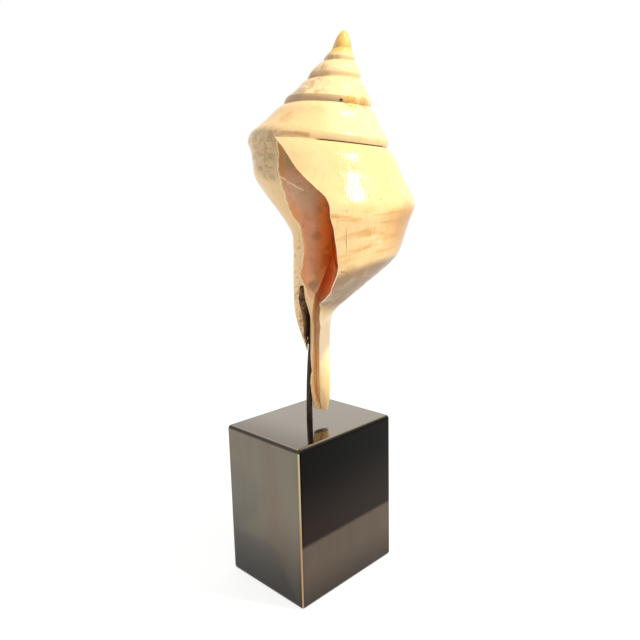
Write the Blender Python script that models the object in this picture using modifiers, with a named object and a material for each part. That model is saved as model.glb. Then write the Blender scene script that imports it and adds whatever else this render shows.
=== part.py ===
"""A large trumpet shell held on a rod that stands in a rectangular block.

Metres, +Z up, the origin in the middle of the block's bottom. The shell coils to the right: seen
from its apex the whorls grow clockwise. It is worked out in turns of growth: turn 0 is the outer
lip, which faces the block's front corner (+X, -Y), and earlier shell has negative turns.
Millimetres are used inside the sizes and the section functions, and MM turns them into metres.
"""

from math import asin, cos, exp, hypot, log, pi, sin, sqrt

import bmesh
import bpy
from mathutils import Vector

MM = 0.001
CREASE_ANGLE = 0.6

# The block, and the rod in the middle of its top.
BLOCK_WIDTH, BLOCK_DEPTH, BLOCK_HEIGHT = 101.6, 127.0, 152.4
BLOCK_EDGE, EDGE_SEGMENTS = 1.2, 3
ROD_RADIUS = 3.0
ROD_SOCKET_DEPTH, SOCKET_SIDES = 25.0, 32
ROD_TOP = 288.0
ROD_LEAN_RATE = 0.00066
ROD_STRAIGHT_ABOVE = 225.0
ROD_BACKWARD = 0.5
ROD_STEPS = 14
FIT_GAP = 0.3

# The shell's axis: where its apex would come to a point, and the way it runs from there.
APEX = Vector((35.25, 24.91, 514.15))
AXIS_DOWN = Vector((-0.1805, -0.1294, -1.0)).normalized()
LIP_BEARING = -pi / 4
# Below the body whorl the axis bends back towards the vertical.
RIGHT = Vector((1.0, 1.0, 0.0)).normalized()
FRONT = Vector((1.0, -1.0, 0.0)).normalized()
BEND_SLOPE, BEND_FORWARD, BEND_HEIGHT, BEND_EASE = 0.2, 0.035, 165.0, 30.0

# The keel's spiral: its radius and depth at the lip, and how much each grows in a turn.
KEEL_RADIUS, KEEL_GROWTH, KEEL_SLOWING = 98.1, 1.596, 0.0101
KEEL_DEPTH, DEPTH_GROWTH = 146.1, 1.501
LIP_DROP, LIP_DROP_TURNS, LIP_DROP_LAST = 10.3, 0.12, 0.1
# The band of wall between a keel and the suture under it.
BAND_HEIGHT, BAND_RADIUS, BAND_OVERHANG = 6.8, 18.0, 1.012

# The growth lines: how many there are in a turn, and how far the suture end runs ahead.
LINES_PER_TURN = 45
SUTURE_LEAD = 6
FIRST_TURN, APEX_RISE = -5.8, 2.1
# How far each station below the ramp hangs back from the neck's end, in turns.
KEEL_LEAD, RAMP_SWEEP = -0.022, 1.3
WALL_LEADS = (-0.030, -0.037, -0.038, -0.034, -0.035, -0.031, -0.026, -0.028)
NECK_LEADS = (-0.022, -0.012)
# Stations down a growth line: (part of the way from suture to keel in radius, in depth).
RAMP = ((0.0, 0.0), (0.17, 0.11), (0.52, 0.51), (0.9, 0.9))
# Below the keel, in keel radii: the depth as a rule and at the lip, and the radius early and
# late in the last turn. The fourth row is the second, lower angle.
WALL = (
    (0.20, 0.25, 0.955, 0.985),
    (0.38, 0.46, 0.900, 0.950),
    (0.52, 0.62, 0.855, 0.915),
    (0.60, 0.70, 0.790, 0.865),
    (0.72, 0.775, 0.670, 0.755),
    (0.86, 0.845, 0.520, 0.615),
    (1.00, 0.91, 0.385, 0.470),
    (1.13, 0.975, 0.260, 0.330),
)
EARLY_TURN, LATE_TURN, LIP_REGION = -0.75, -0.25, -0.12
LEAST_LATE, MOST_LATE = -0.4, 1.3
KEEL_STATION = len(RAMP)
SUTURE_STATION = KEEL_STATION + 1
NECK_STATION = SUTURE_STATION + 1 + len(WALL)

# The neck: the columella's end with the fasciole round it, which narrows to the canal.
NECK_RADIUS, NECK_TOP, NECK_END, NECK_EASE = 19.0, 249.0, 316.0, 11.0
CANAL_RADIUS, CANAL_TIP_RADIUS, CANAL_TIP_START, CANAL_TIP = 9.8, 6.8, 336.0, 358.5
CANAL_RIGHT, CANAL_FRONT, CANAL_OFF_FROM, CANAL_OFF_TO = 6.3, 8.0, 266.0, 318.0
CANAL_LEAN, LEAN_START, LEAN_CURVE, CANAL_FLATTENING = 9.0, 330.0, 1.5, 0.2
NECK_PARTS = (0.1, 0.2, 0.32, 0.45, 0.58, 0.7, 0.85, 1.0)
STATIONS = NECK_STATION + len(NECK_PARTS)
WALL_FADE = 30.0
CANAL_SIDES = 20
# The canal's own tube: (depth, radius).
CANAL_WALL = ((238.0, 6.8), (250.0, 8.2), (264.0, 9.4), (283.0, 9.5), (304.0, 9.4), (321.0, 8.4))

# The hollow inside the last turn, and how far it is cut ahead of the lip.
SHELL_WALL, CALLUS = 3.2, 1.0
HOLLOW_TURNS, HOLLOW_AHEAD, HOLLOW_HEEL, COLUMELLA_STEPS = 1.1, 3, 9.0, 5

# The channel along the canal, wide where it leaves the hollow: (depth, how far right of the
# canal's middle, radius, half width of its opening, which way that faces).
CHANNEL = (
    (222.0, 7.0, 9.0, 8.2, 0.25),
    (236.0, 5.5, 9.6, 8.8, 0.30),
    (246.0, 3.5, 8.6, 7.6, 0.36),
    (256.0, 1.5, 7.0, 5.8, 0.42),
    (266.0, 0.0, 5.8, 4.4, 0.48),
    (276.0, 0.0, 5.7, 3.8, 0.54),
    (300.0, 0.0, 5.7, 3.6, 0.63),
    (335.0, 0.0, 5.7, 3.8, 0.63),
    (352.0, 0.0, 5.4, 4.8, 0.63),
    (368.0, 0.0, 5.4, 5.2, 0.63),
)

# The umbilicus, along the rod: (height, radius, half width of its opening, its facing, reach).
UMBILICUS = (
    (194.0, 3.9, 2.6, 0.16, 30.0),
    (209.0, 3.9, 2.8, 0.05, 30.0),
    (228.0, 4.5, 3.3, 0.10, 30.0),
    (240.0, 4.7, 4.0, 0.26, 30.0),
    (250.0, 5.0, 4.0, 0.28, 30.0),
    (262.0, 5.0, 3.6, 0.40, 30.0),
    (272.0, 4.8, 3.0, 0.54, 30.0),
    (284.0, 4.3, 2.0, 0.58, 30.0),
    (294.0, 3.9, 1.0, 0.58, 5.0),
)
SLOT_SIDES, SLOT_REACH = 14, 30.0

# The adhesive round the rod: (height, how far it swells out of the cleft).
LUMP = (
    (228.5, 0.1),
    (231.5, 0.7),
    (235.5, 0.5),
    (239.0, 1.4),
    (242.5, 0.9),
    (246.0, 1.9),
    (250.0, 1.1),
    (253.0, 1.6),
    (256.5, 0.1),
)
LUMP_FILM, LUMP_EVEN, LUMP_NARROWING, LUMP_FACING = 0.75, 0.25, 6, 0.3
LUMP_SIDES, CORE_SPARE = 20, 2.0


def clear_scene():
    for obj in list(bpy.data.objects):
        bpy.data.objects.remove(obj, do_unlink=True)


def smoothstep(low, high, value):
    part = min(1.0, max(0.0, (value - low) / (high - low)))
    return part * part * (3.0 - 2.0 * part)


def smooth_max(a, b, reach):
    """The larger of two, rounded off where they differ by less than the reach."""
    near = max(0.0, 1.0 - abs(a - b) / reach)
    return max(a, b) + near * near * reach / 4.0


# --- The shell's frame -------------------------------------------------------------------------


def cross_axes():
    """Two directions across the shell's axis, the first of them towards +X."""
    first = Vector((1.0, 0.0, 0.0))
    first = (first - first.dot(AXIS_DOWN) * AXIS_DOWN).normalized()
    return first, (-AXIS_DOWN).cross(first)


ACROSS_X, ACROSS_Y = cross_axes()


def bend(depth):
    below = depth - BEND_HEIGHT
    return (sqrt(below * below + BEND_EASE * BEND_EASE) + below) / 2.0


def canal_share(depth):
    """0 where the neck is round the axis, 1 where it has moved off it and become the canal."""
    return smoothstep(CANAL_OFF_FROM, CANAL_OFF_TO, depth)


def canal_offset(depth, share):
    """From the axis to the canal's middle, which leans back below the neck."""
    low = max(0.0, (depth - LEAN_START) / (CANAL_TIP - LEAN_START))
    lean = CANAL_LEAN * low**LEAN_CURVE
    return share * CANAL_RIGHT * RIGHT + (share * CANAL_FRONT - lean) * FRONT


def axis_point(depth):
    moved = bend(depth)
    sideways = BEND_SLOPE * moved * RIGHT + BEND_FORWARD * moved * FRONT
    return APEX + depth * AXIS_DOWN + sideways


def place(turn, radius, depth, share=None):
    """A point of the shell in metres, from its growth turn, radius and depth below the apex."""
    if share is None:
        share = canal_share(depth)
    bearing = LIP_BEARING - 2.0 * pi * turn
    middle = axis_point(depth) + canal_offset(depth, share)
    radius *= 1.0 - CANAL_FLATTENING * share * cos(2.0 * pi * turn) ** 2
    return MM * (middle + radius * (cos(bearing) * ACROSS_X + sin(bearing) * ACROSS_Y))


# --- The rod's line ----------------------------------------------------------------------------


def rod_point(height):
    """The rod is straight where it leaves the block, and leans over as it rises to the shell."""
    above = max(0.0, height - BLOCK_HEIGHT)
    curved = min(above, ROD_STRAIGHT_ABOVE - BLOCK_HEIGHT)
    lean = ROD_LEAN_RATE * curved * curved + 2.0 * ROD_LEAN_RATE * curved * (above - curved)
    return Vector((0.0, 0.0, height)) + lean * RIGHT - ROD_BACKWARD * lean * FRONT


# --- Growth ------------------------------------------------------------------------------------


def keel(turn):
    radius = KEEL_RADIUS * exp(log(KEEL_GROWTH) * turn - KEEL_SLOWING * turn * turn)
    drop = LIP_DROP * exp(min(turn, LIP_DROP_LAST) / LIP_DROP_TURNS)
    return radius, KEEL_DEPTH * DEPTH_GROWTH**turn + drop


def below_keel(turn):
    """The point of the wall where the next whorl's suture lies."""
    radius, depth = keel(turn)
    return BAND_OVERHANG * radius, depth + BAND_HEIGHT * (1.0 - exp(-radius / BAND_RADIUS))


def neck_radius(depth):
    neck_part = smoothstep(NECK_TOP, NECK_END, depth)
    tip_part = smoothstep(CANAL_TIP_START, CANAL_TIP, depth)
    narrowed = NECK_RADIUS + (CANAL_RADIUS - NECK_RADIUS) * neck_part
    return narrowed + (CANAL_TIP_RADIUS - CANAL_RADIUS) * tip_part


def ramp_point(turn, out, down):
    """A point of the slope from the suture out to the keel."""
    start_radius, start_depth = below_keel(turn - 1.0)
    radius, depth = keel(turn)
    return start_radius + out * (radius - start_radius), start_depth + down * (depth - start_depth)


def wall_point(turn, row):
    """A point of the last whorl below its keel, before the neck is joined on."""
    usual_down, lip_down, early_part, late_part = WALL[row]
    radius, depth = keel(turn)
    down = usual_down + (lip_down - usual_down) * smoothstep(LIP_REGION, 0.0, turn)
    late = (turn - EARLY_TURN) / (LATE_TURN - EARLY_TURN)
    late = min(MOST_LATE, max(LEAST_LATE, late))
    return radius * (early_part + (late_part - early_part) * late), depth + down * radius


def section_point(turn, station):
    """(radius, depth) of one station of the whorl's outside at this turn."""
    if station < KEEL_STATION:
        return ramp_point(turn, *RAMP[station])
    if station == KEEL_STATION:
        return keel(turn)
    if station == SUTURE_STATION:
        return below_keel(turn)
    radius, depth = wall_point(turn, min(station - SUTURE_STATION - 1, len(WALL) - 1))
    if station >= NECK_STATION:
        below = (CANAL_TIP - depth) * NECK_PARTS[station - NECK_STATION]
        depth += below
        radius *= 1.0 - smoothstep(0.0, WALL_FADE, below)
    return smooth_max(radius, neck_radius(depth), NECK_EASE), depth


def lead(station):
    """How far ahead of the neck's end this station of one growth line lies, in turns."""
    if station < KEEL_STATION:
        return KEEL_LEAD + SUTURE_LEAD / LINES_PER_TURN * (1.0 - RAMP[station][0]) ** RAMP_SWEEP
    leads = (KEEL_LEAD, KEEL_LEAD, *WALL_LEADS, *NECK_LEADS)
    below = station - KEEL_STATION
    return leads[below] if below < len(leads) else 0.0


def growth_line(line, inset=0.0):
    """Stations of one growth line as (turn, radius, depth), set in by this much."""
    turn = line / LINES_PER_TURN
    found = []
    for station in range(STATIONS):
        at = turn + lead(station)
        found.append((at, *section_point(at, station)))
    if not inset:
        return found
    moved = []
    for station, (at, radius, depth) in enumerate(found):
        before = found[max(station - 1, 0)]
        after = found[min(station + 1, STATIONS - 1)]
        run, fall = after[1] - before[1], after[2] - before[2]
        size = hypot(run, fall)
        moved.append((at, radius - inset * fall / size, depth + inset * run / size))
    return moved


# --- Meshes ------------------------------------------------------------------------------------


def mesh_object(name, builder, collection, material):
    """A named object whose mesh the builder fills, smooth apart from its creases."""
    bm = bmesh.new()
    builder(bm)
    bmesh.ops.recalc_face_normals(bm, faces=bm.faces)
    mesh = bpy.data.meshes.new(name)
    bm.to_mesh(mesh)
    bm.free()
    mesh.shade_smooth()
    mesh.set_sharp_from_angle(angle=CREASE_ANGLE)
    obj = bpy.data.objects.new(name, mesh)
    collection.objects.link(obj)
    if material:
        mesh.materials.append(material)
    return obj


def add_strip(bm, first, second):
    """Quads between two lists of vertices, leaving out an edge that both lists share."""
    for a, b, c, d in zip(first, first[1:], second[1:], second):
        corners = list(dict.fromkeys((a, b, c, d)))
        if len(corners) > 2:
            bm.faces.new(corners)


def build_outside(bm):
    """The filled outside: growth lines joined along the sutures, closed at the lip and the tip."""
    first_line = round(FIRST_TURN * LINES_PER_TURN)
    next_whorl = LINES_PER_TURN - SUTURE_LEAD
    full_from = -next_whorl
    first_radius, first_depth = keel(FIRST_TURN)
    apex = bm.verts.new(place(FIRST_TURN, 0.0, first_depth - APEX_RISE * first_radius))
    lines = {}
    for line in range(first_line, 1):
        points = growth_line(line)
        last = STATIONS if line >= full_from else SUTURE_STATION + 1
        verts = [bm.verts.new(place(*point)) for point in points[1:last]]
        above = lines.get(line - next_whorl)
        lines[line] = [above[SUTURE_STATION] if above else apex, *verts]
    for line in range(first_line, 0):
        add_strip(bm, lines[line][: SUTURE_STATION + 1], lines[line + 1][: SUTURE_STATION + 1])
    for line in range(full_from, 0):
        add_strip(bm, lines[line][SUTURE_STATION:], lines[line + 1][SUTURE_STATION:])
    start = lines[first_line][: SUTURE_STATION + 1]
    hidden = lines[first_line + next_whorl][0]
    for a, b in zip(start, start[1:]):
        if hidden not in (a, b):
            bm.faces.new((a, b, hidden))
    close_lip(bm, lines[0], lines[full_from])
    tips = [lines[line][-1] for line in range(full_from, 1)]
    bm.faces.new(tips)


def close_lip(bm, lip, inner):
    """The filled mouth between the outer lip and the line under it, which the hollow removes."""
    corner = inner[SUTURE_STATION]
    for a, b in zip(lip[1:SUTURE_STATION], lip[2 : SUTURE_STATION + 1]):
        bm.faces.new((corner, a, b))
    add_strip(bm, lip[SUTURE_STATION:], inner[SUTURE_STATION:])


def loft(bm, rings):
    """A closed solid through rings of equal length."""
    rows = [[bm.verts.new(point) for point in ring] for ring in rings]
    for row, after in zip(rows, rows[1:]):
        add_strip(bm, [*row, row[0]], [*after, after[0]])
    bm.faces.new(rows[0])
    bm.faces.new(rows[-1])


def hollow_ring(line):
    """The inside of the shell at one growth line: down the outer wall, then up the columella."""
    outer = growth_line(line, SHELL_WALL)[1 : NECK_STATION - 1]
    older = growth_line(line - LINES_PER_TURN + SUTURE_LEAD, -CALLUS)
    inner = older[SUTURE_STATION + 1 : NECK_STATION]
    turn, radius, top = inner[-1]
    bottom = outer[-1][2] - HOLLOW_HEEL
    for step in range(1, COLUMELLA_STEPS + 1):
        level = top + (bottom - top) * step / COLUMELLA_STEPS
        column = neck_radius(level) + CALLUS
        inner.append((turn, column + (radius - column) * (1.0 - step / COLUMELLA_STEPS) ** 2, level))
    return [place(*point) for point in outer + inner[::-1]]


def build_hollow(bm):
    last = -round(HOLLOW_TURNS * LINES_PER_TURN)
    loft(bm, [hollow_ring(line) for line in range(HOLLOW_AHEAD, last, -1)])


def slot_ring(middle, radius, half_width, facing, reach):
    """A level round of this radius with a straight-sided way out of it."""
    start = asin(half_width / radius)
    around = 2.0 * (pi - start)
    angles = [start + around * step / SLOT_SIDES for step in range(SLOT_SIDES + 1)]
    points = [(radius * cos(angle), radius * sin(angle)) for angle in angles]
    points += [(reach, -half_width), (reach, half_width)]
    ahead = (cos(facing) * FRONT - sin(facing) * RIGHT).normalized()
    beside = Vector((0.0, 0.0, 1.0)).cross(ahead)
    return [MM * (middle + along * ahead + across * beside) for along, across in points]


def build_channel(bm):
    """The canal's open channel, from inside the hollow to past the tip."""
    rings = []
    for depth, to_right, radius, half_width, facing in CHANNEL:
        middle = axis_point(depth) + canal_offset(depth, 1.0) + to_right * RIGHT
        rings.append(slot_ring(middle, radius, half_width, facing, SLOT_REACH))
    loft(bm, rings)


def build_umbilicus(bm):
    """The cleft between the inner lip and the fasciole, which takes the rod."""
    rings = []
    for height, *opening in UMBILICUS:
        rings.append(slot_ring(rod_point(height), *opening))
    loft(bm, rings)


def build_canal_wall(bm):
    """The canal's own tube, which stays whole beside the umbilicus."""
    rings = []
    for depth, radius in CANAL_WALL:
        steps = range(CANAL_SIDES)
        rings.append([place(step / CANAL_SIDES, radius, depth, 1.0) for step in steps])
    loft(bm, rings)


# --- The pieces --------------------------------------------------------------------------------


def finish(name, colour, roughness, metallic=0.0):
    material = bpy.data.materials.new(name)
    material.use_nodes = True
    shader = material.node_tree.nodes["Principled BSDF"]
    shader.inputs["Base Color"].default_value = (*colour, 1.0)
    shader.inputs["Roughness"].default_value = roughness
    shader.inputs["Metallic"].default_value = metallic
    return material


def hide(obj):
    obj.hide_render = True
    obj.display_type = "WIRE"


def add_boolean(obj, cutter, operation, solver="EXACT"):
    modifier = obj.modifiers.new(f"{operation.lower()} {cutter.name}", "BOOLEAN")
    modifier.operation = operation
    modifier.object = cutter
    modifier.solver = solver


def make_shell(parts, cutters):
    glossy = finish("polished shell", (0.93, 0.72, 0.45), 0.25)
    shell = mesh_object("shell", build_outside, parts, glossy)
    steps = (
        ("umbilicus_cutter", build_umbilicus, "DIFFERENCE"),
        ("canal_wall", build_canal_wall, "UNION"),
        ("channel_cutter", build_channel, "DIFFERENCE"),
        ("hollow_cutter", build_hollow, "DIFFERENCE"),
    )
    for name, builder, operation in steps:
        helper = mesh_object(name, builder, cutters, None)
        hide(helper)
        # The exact solver loses the whole shell where the canal's tube meets its outside.
        add_boolean(shell, helper, operation, "MANIFOLD")
    return shell


def lump_ring(height, swell):
    """The adhesive's outside at one level: round the rod, and bulging where the cleft is open."""
    facing = cos(LUMP_FACING) * FRONT - sin(LUMP_FACING) * RIGHT
    beside = Vector((0.0, 0.0, 1.0)).cross(facing)
    points = []
    for step in range(LUMP_SIDES):
        angle = 2.0 * pi * step / LUMP_SIDES
        bulge = max(0.0, cos(angle)) ** LUMP_NARROWING
        radius = ROD_RADIUS + LUMP_FILM + swell * (LUMP_EVEN + bulge)
        points.append(rod_point(height) + radius * (cos(angle) * facing + sin(angle) * beside))
    return [MM * point for point in points]


def build_lump(bm):
    loft(bm, [lump_ring(height, swell) for height, swell in LUMP])


def core_ring(height):
    """A round just wider than the rod."""
    reach = ROD_RADIUS + FIT_GAP
    angles = [2.0 * pi * step / LUMP_SIDES for step in range(LUMP_SIDES)]
    spokes = [cos(angle) * FRONT + sin(angle) * RIGHT for angle in angles]
    return [MM * (rod_point(height) + reach * spoke) for spoke in spokes]


def build_lump_core(bm):
    bottom, top = LUMP[0][0] - CORE_SPARE, LUMP[-1][0] + CORE_SPARE
    loft(bm, [core_ring(height) for height in (bottom, (bottom + top) / 2.0, top)])


def make_adhesive(parts, cutters):
    """The dark lump that fixes the rod in the umbilicus."""
    putty = finish("black epoxy putty", (0.02, 0.018, 0.02), 0.5)
    lump = mesh_object("adhesive", build_lump, parts, putty)
    core = mesh_object("rod_clearance", build_lump_core, cutters, None)
    hide(core)
    add_boolean(lump, core, "DIFFERENCE")
    return lump


def build_block(bm):
    size = MM * Vector((BLOCK_WIDTH, BLOCK_DEPTH, BLOCK_HEIGHT))
    bmesh.ops.create_cube(bm, size=1.0)
    bmesh.ops.scale(bm, vec=size, verts=bm.verts)
    bmesh.ops.translate(bm, vec=(0.0, 0.0, size.z / 2.0), verts=bm.verts)


def build_socket(bm):
    """The round hole in the block's top, as deep again above it."""
    bmesh.ops.create_cone(
        bm,
        cap_ends=True,
        segments=SOCKET_SIDES,
        radius1=MM * (ROD_RADIUS + FIT_GAP),
        radius2=MM * (ROD_RADIUS + FIT_GAP),
        depth=2.0 * MM * ROD_SOCKET_DEPTH,
    )
    bmesh.ops.translate(bm, vec=(0.0, 0.0, MM * BLOCK_HEIGHT), verts=bm.verts)


def make_block(parts, cutters):
    bronze = finish("dark bronze patina", (0.06, 0.05, 0.045), 0.12, 1.0)
    block = mesh_object("block", build_block, parts, bronze)
    bevel = block.modifiers.new("eased edges", "BEVEL")
    bevel.width = MM * BLOCK_EDGE
    bevel.segments = EDGE_SEGMENTS
    socket = mesh_object("socket_cutter", build_socket, cutters, None)
    hide(socket)
    add_boolean(block, socket, "DIFFERENCE")
    return block


def make_rod(parts):
    curve = bpy.data.curves.new("rod", "CURVE")
    curve.dimensions = "3D"
    curve.bevel_depth = MM * ROD_RADIUS
    curve.bevel_resolution = 3
    curve.use_fill_caps = True
    curve.materials.append(finish("blackened steel", (0.03, 0.025, 0.022), 0.4, 1.0))
    spline = curve.splines.new("POLY")
    rise = (ROD_TOP - BLOCK_HEIGHT) / ROD_STEPS
    heights = [BLOCK_HEIGHT - ROD_SOCKET_DEPTH + FIT_GAP]
    heights += [BLOCK_HEIGHT + rise * step for step in range(ROD_STEPS + 1)]
    spline.points.add(len(heights) - 1)
    for point, height in zip(spline.points, heights):
        point.co = (*(MM * rod_point(height)), 1.0)
    rod = bpy.data.objects.new("rod", curve)
    parts.objects.link(rod)
    return rod


def main():
    clear_scene()
    scene = bpy.context.scene
    parts = bpy.data.collections.new("mounted trumpet shell")
    cutters = bpy.data.collections.new("cutters")
    scene.collection.children.link(parts)
    scene.collection.children.link(cutters)
    make_shell(parts, cutters)
    make_rod(parts)
    make_adhesive(parts, cutters)
    make_block(parts, cutters)


main()
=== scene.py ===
"""The mounted trumpet shell with its finished surfaces, a pale floor, soft light and a camera.

Metres, +Z up, the origin in the middle of the block's bottom. The shell coils to the right and is
worked out in turns of growth, as the solid under it is: turn 0 is the outer lip and earlier shell
has negative turns. Across a whorl, 0 is the suture, 1 the keel, and 3.1 the end of the canal.
Sizes and section functions are in millimetres, and MM turns them into metres.
"""

from math import asin, cos, pi, radians, sin, sqrt
from types import SimpleNamespace

import bmesh
import bpy
import numpy as np
from mathutils import Matrix, Vector


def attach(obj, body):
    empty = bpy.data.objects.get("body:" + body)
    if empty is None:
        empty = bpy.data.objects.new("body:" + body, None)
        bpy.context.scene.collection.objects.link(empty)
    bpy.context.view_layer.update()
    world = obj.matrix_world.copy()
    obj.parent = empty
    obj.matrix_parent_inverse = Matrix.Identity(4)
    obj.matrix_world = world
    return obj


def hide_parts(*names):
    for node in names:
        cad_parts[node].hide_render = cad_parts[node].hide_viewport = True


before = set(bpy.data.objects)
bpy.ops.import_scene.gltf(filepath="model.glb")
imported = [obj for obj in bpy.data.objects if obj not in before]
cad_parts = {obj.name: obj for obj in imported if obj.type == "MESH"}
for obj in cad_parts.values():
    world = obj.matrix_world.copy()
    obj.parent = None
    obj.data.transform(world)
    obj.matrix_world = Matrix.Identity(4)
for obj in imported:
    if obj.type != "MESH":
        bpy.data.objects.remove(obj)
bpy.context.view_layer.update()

MM = 0.001

# The block, and the socket in its top for the rod, which bends to the right and half as far back,
# and runs straight from a certain height.
BLOCK_WIDTH, BLOCK_DEPTH, BLOCK_HEIGHT = 101.6, 127.0, 152.4
BLOCK_ROUNDING, ROUNDING_STEPS = 4.0, 8
SOCKET_RADIUS, SOCKET_DEPTH, SOCKET_SIDES = 3.3, 25.0, 48
ROD_LEAN_RATE, ROD_STRAIGHT_ABOVE, ROD_BACKWARD = 0.00066, 225.0, 0.5

# The shell's axis: where its apex would come to a point, the way it runs from there, and where it
# bends back towards the vertical.
APEX = np.array((35.25, 24.91, 514.15))
AXIS_DOWN = np.array((-0.1805, -0.1294, -1.0)) / np.linalg.norm((-0.1805, -0.1294, -1.0))
LIP_BEARING = -pi / 4
RIGHT = np.array((1.0, 1.0, 0.0)) / 2**0.5
FRONT = np.array((1.0, -1.0, 0.0)) / 2**0.5
BEND_SLOPE, BEND_FORWARD, BEND_HEIGHT, BEND_EASE = 0.2, 0.035, 165.0, 30.0

# The keel's spiral: its radius and depth at the lip, how much each grows in a turn, and how far it
# drops to the lip.
KEEL_RADIUS, KEEL_GROWTH, KEEL_SLOWING = 98.1, 1.596, 0.0101
KEEL_DEPTH, DEPTH_GROWTH = 146.1, 1.501
LIP_DROP, LIP_DROP_TURNS, LIP_DROP_LAST = 10.3, 0.12, 0.1
# The band of wall between a keel and the suture under it.
BAND_HEIGHT, BAND_RADIUS, BAND_OVERHANG = 6.8, 18.0, 1.012

# The growth lines, four times as close as the solid's, and how many their suture end runs ahead.
LINES_PER_TURN, SUTURE_LEAD = 180, 24
FIRST_TURN, APEX_RISE = -5.8, 1.9
# How far a growth line hangs back at each station from the keel down, in turns.
KEEL_LEAD, RAMP_SWEEP = -0.022, 1.3
WALL_LEADS = (-0.030, -0.037, -0.038, -0.034, -0.035, -0.031, -0.026, -0.028)
NECK_LEADS = (-0.022, -0.012)
# Stations down a growth line: (part of the way from suture to keel in radius, in depth).
RAMP = ((0.0, 0.0), (0.17, 0.11), (0.52, 0.51), (0.9, 0.9))
# Below the keel, in keel radii: the depth as a rule and at the lip, and the radius early and late
# in the last turn. The fourth row is the second, lower angle.
WALL = (
    (0.20, 0.25, 0.955, 0.985),
    (0.38, 0.46, 0.900, 0.950),
    (0.52, 0.62, 0.855, 0.915),
    (0.60, 0.70, 0.790, 0.865),
    (0.72, 0.775, 0.670, 0.755),
    (0.86, 0.845, 0.520, 0.615),
    (1.00, 0.91, 0.385, 0.470),
    (1.13, 0.975, 0.260, 0.330),
)
EARLY_TURN, LATE_TURN, LIP_REGION = -0.75, -0.25, -0.12
LEAST_LATE, MOST_LATE = -0.4, 1.3
KEEL_STATION = len(RAMP)
SUTURE_STATION = KEEL_STATION + 1
NECK_STATION = SUTURE_STATION + 1 + len(WALL)
# How many steps are drawn from each station to the next.
FINE_STEPS = (4, 7, 7, 2, 3, 4, 5, 4, 3, 4, 5, 5, 4, 3, 3, 4, 4, 4, 4, 5, 5)

# The neck: the columella's end with the fasciole round it, which narrows to the canal.
NECK_RADIUS, NECK_TOP, NECK_END, NECK_EASE = 19.0, 249.0, 316.0, 11.0
CANAL_RADIUS, CANAL_TIP_RADIUS, CANAL_TIP_START, CANAL_TIP = 9.8, 6.8, 336.0, 358.5
CANAL_RIGHT, CANAL_FRONT, CANAL_OFF_FROM, CANAL_OFF_TO = 6.3, 8.0, 266.0, 318.0
CANAL_LEAN, LEAN_START, LEAN_CURVE, CANAL_FLATTENING = 9.0, 330.0, 1.5, 0.2
NECK_PARTS = (0.1, 0.2, 0.32, 0.45, 0.58, 0.7, 0.85, 1.0)
STATIONS = NECK_STATION + len(NECK_PARTS)
WALL_FADE = 30.0
CANAL_SIDES = 48
# The canal's own tube: (depth, radius).
CANAL_WALL = ((238.0, 6.8), (250.0, 8.2), (264.0, 9.4), (283.0, 9.5), (304.0, 9.4), (321.0, 8.4))

# The last keel's wear: how many fine steps each way, how often it is smoothed, from which turn on.
KEEL_WORN, KEEL_WEAR = 2, 3
WEAR_STARTS, WEAR_FULL = -1.0, -0.9
# The tip's dome: its top, how far down it reaches, its roundness, its lean, and how it blends in.
TIP_HEIGHT, TIP_DOME, TIP_ROUND, TIP_BEND, TIP_BLEND, TIP_CUTS = 509.2, 24.0, 2.2, 2.2, 0.45, 3
# How much rounder the first whorls are than the solid's, and from which turn back.
SPIRE_BULGE, BULGE_STARTS, BULGE_FULL = 0.07, -1.9, -2.5
# The lip's waves, in turns, where they fade out, and the two out of step that they are made of:
# (rate across, shift, share).
LIP_WAVE, WAVE_STARTS = 0.0004, -0.06
LIP_WAVES = ((19.0, 0.0, 1.0), (43.0, 1.0, 0.7))
# The marks of the lip's broken edge and of the canal's wall in the UV.
LIP_EDGE_TURN = 0.5
CANAL_WALL_MARK = (-0.05, 2.9)

# The hollow of the last turn and its wall, which is thinner at the lip.
SHELL_WALL, LIP_WALL, WALL_FULL, CALLUS = 3.2, 0.9, -0.14, 1.0
HOLLOW_TURNS, HOLLOW_AHEAD, HOLLOW_STRIDE, HOLLOW_HEEL = 1.1, 12, 2, 9.0
COLUMELLA_STEPS, COLUMELLA_ACROSS = 10, -2.4
# The channel along the canal, wide where it leaves the hollow and a fine line at its end: (depth,
# how far right of the canal's middle, radius, half width of its opening, its facing).
CHANNEL = (
    (206.0, 14.0, 2.4, 1.8, 0.20),
    (214.0, 13.2, 5.0, 4.2, 0.22),
    (222.0, 12.2, 6.6, 5.6, 0.25),
    (236.0, 9.4, 7.4, 6.4, 0.30),
    (246.0, 6.4, 7.2, 6.0, 0.36),
    (256.0, 3.2, 6.6, 5.2, 0.42),
    (266.0, 0.8, 5.8, 4.4, 0.48),
    (276.0, 0.0, 5.7, 3.8, 0.54),
    (300.0, 0.0, 5.7, 3.6, 0.63),
    (335.0, 0.0, 5.6, 3.8, 0.63),
    (346.0, 1.0, 4.4, 2.8, 0.60),
    (354.0, 3.2, 2.6, 1.2, 0.56),
    (366.0, 6.2, 1.6, 0.5, 0.50),
)
# The umbilicus, along the rod: (height, radius, half width of its opening, its facing, reach).
UMBILICUS = (
    (194.0, 3.9, 2.6, 0.16, 30.0),
    (209.0, 3.9, 2.8, 0.05, 30.0),
    (228.0, 4.5, 3.3, 0.10, 30.0),
    (240.0, 4.7, 4.0, 0.26, 30.0),
    (250.0, 5.0, 4.0, 0.28, 30.0),
    (262.0, 5.0, 3.6, 0.40, 30.0),
    (272.0, 4.8, 3.0, 0.54, 30.0),
    (284.0, 4.3, 2.0, 0.58, 30.0),
    (294.0, 3.9, 1.0, 0.58, 5.0),
)
SLOT_SIDES, SLOT_REACH, TABLE_STEPS = 28, 30.0, 3
# Edges that turn by more degrees than this stay sharp.
SHARP_ANGLE = 38.0


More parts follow.
